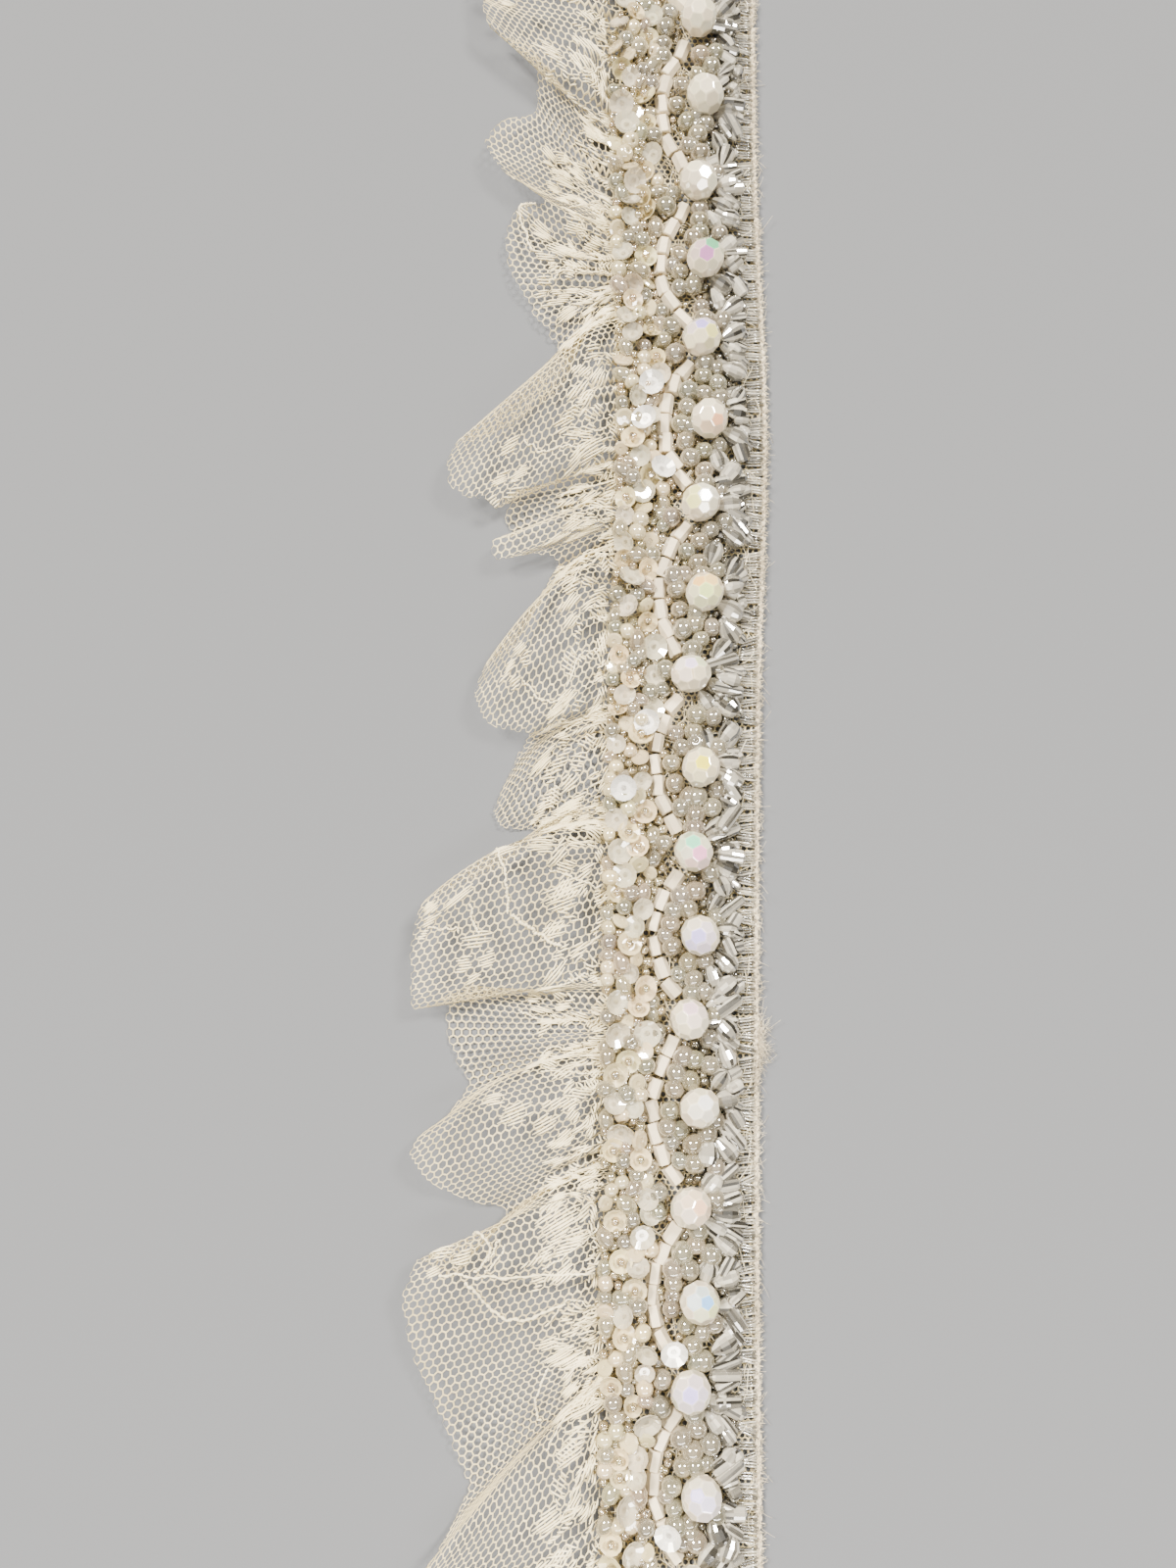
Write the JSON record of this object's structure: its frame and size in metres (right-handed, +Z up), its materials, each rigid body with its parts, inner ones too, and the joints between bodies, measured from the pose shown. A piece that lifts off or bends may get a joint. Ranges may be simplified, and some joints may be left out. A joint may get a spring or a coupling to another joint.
{
  "type": "beaded sequin trim with lace ruffle",
  "caption": "Flat sewn trim: a gathered cream lace ruffle along one side of a net band with sequins, tube beads, pearls and faceted glass beads up to a corded edge.",
  "frame": {"origin": "under the middle of the trim's outline, on the surface that it lies on", "axes": "+X across the trim from the ruffle to the corded edge, +Y along its length, +Z up through its thickness"},
  "size_m": [0.0551, 0.2583, 0.0068],
  "materials": {
    "net": "fine cream hexagon net",
    "lace": "cream net lace with satin stitched flowers",
    "cord": "cream chain stitched cotton",
    "faceted_glass": "milky glass with a rainbow coating",
    "tube_beads": "opaque cream glass",
    "pearls": "pearl lustre",
    "crystal": "clear glass",
    "sequins": "glossy cream and silver"
  },
  "bodies": {
    "root": {"ground_net": "net", "lace_ruffle": "lace", "edge_cord": "cord", "facet_bead_01": "faceted_glass", "facet_bead_02": "faceted_glass", "facet_bead_03": "faceted_glass", "facet_bead_04": "faceted_glass", "facet_bead_05": "faceted_glass", "facet_bead_06": "faceted_glass", "facet_bead_07": "faceted_glass", "facet_bead_08": "faceted_glass", "facet_bead_09": "faceted_glass", "facet_bead_10": "faceted_glass", "facet_bead_11": "faceted_glass", "facet_bead_12": "faceted_glass", "facet_bead_13": "faceted_glass", "facet_bead_14": "faceted_glass", "facet_bead_15": "faceted_glass", "facet_bead_16": "faceted_glass", "facet_bead_17": "faceted_glass", "facet_bead_18": "faceted_glass", "facet_bead_19": "faceted_glass", "tube_scallop_01": "tube_beads", "tube_scallop_02": "tube_beads", "tube_scallop_03": "tube_beads", "tube_scallop_04": "tube_beads", "tube_scallop_05": "tube_beads", "tube_scallop_06": "tube_beads", "tube_scallop_07": "tube_beads", "tube_scallop_08": "tube_beads", "tube_scallop_09": "tube_beads", "tube_scallop_10": "tube_beads", "pearl_arc_01": "pearls", "pearl_arc_02": "pearls", "pearl_arc_03": "pearls", "pearl_arc_04": "pearls", "pearl_arc_05": "pearls", "pearl_arc_06": "pearls", "pearl_arc_07": "pearls", "pearl_arc_08": "pearls", "pearl_arc_09": "pearls", "crystal_string": "crystal", "sequin_stacks": "sequins"}
  },
  "joints": []
}
